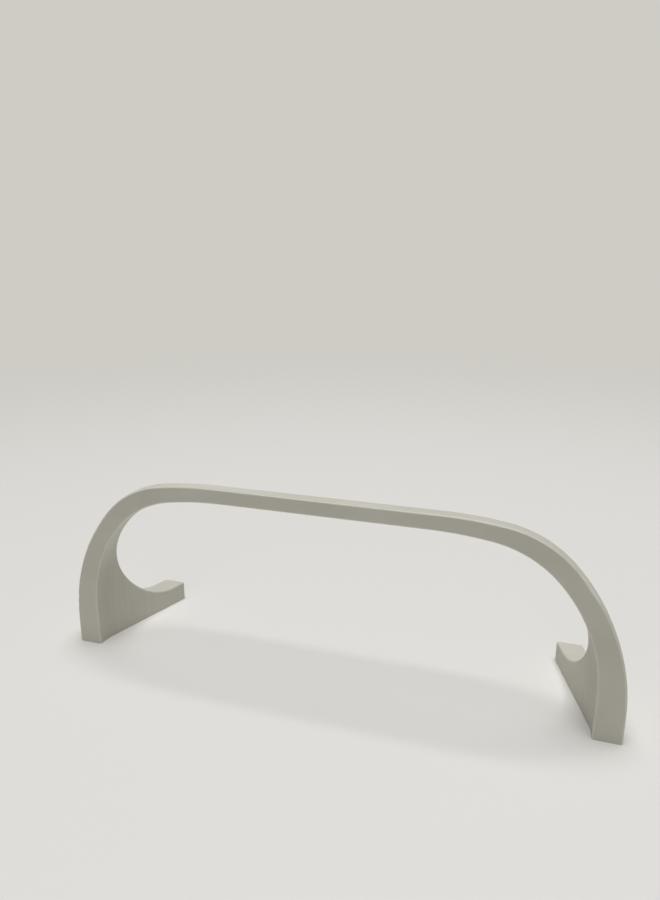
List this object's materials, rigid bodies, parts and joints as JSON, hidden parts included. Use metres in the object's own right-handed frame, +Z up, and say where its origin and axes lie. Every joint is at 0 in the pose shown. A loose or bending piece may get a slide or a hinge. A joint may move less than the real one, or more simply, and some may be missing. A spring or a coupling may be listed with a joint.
{
  "type": "game controller stand",
  "caption": "One-piece low arch on toed-in legs, with a round open cradle cut across each leg behind the arch, to hold a game controller upright on its grips.",
  "frame": {"origin": "on the floor under the middle of the stand, halfway between the front face and the back ends of the legs", "axes": "+X to the right seen from the flat front face, +Y from the front face towards the cradles at the back, +Z up"},
  "size_m": [0.14, 0.031, 0.0488],
  "materials": {
    "printed_plastic": "matte, faint print layers"
  },
  "bodies": {
    "root": {"stand_body": "printed_plastic"}
  },
  "joints": []
}
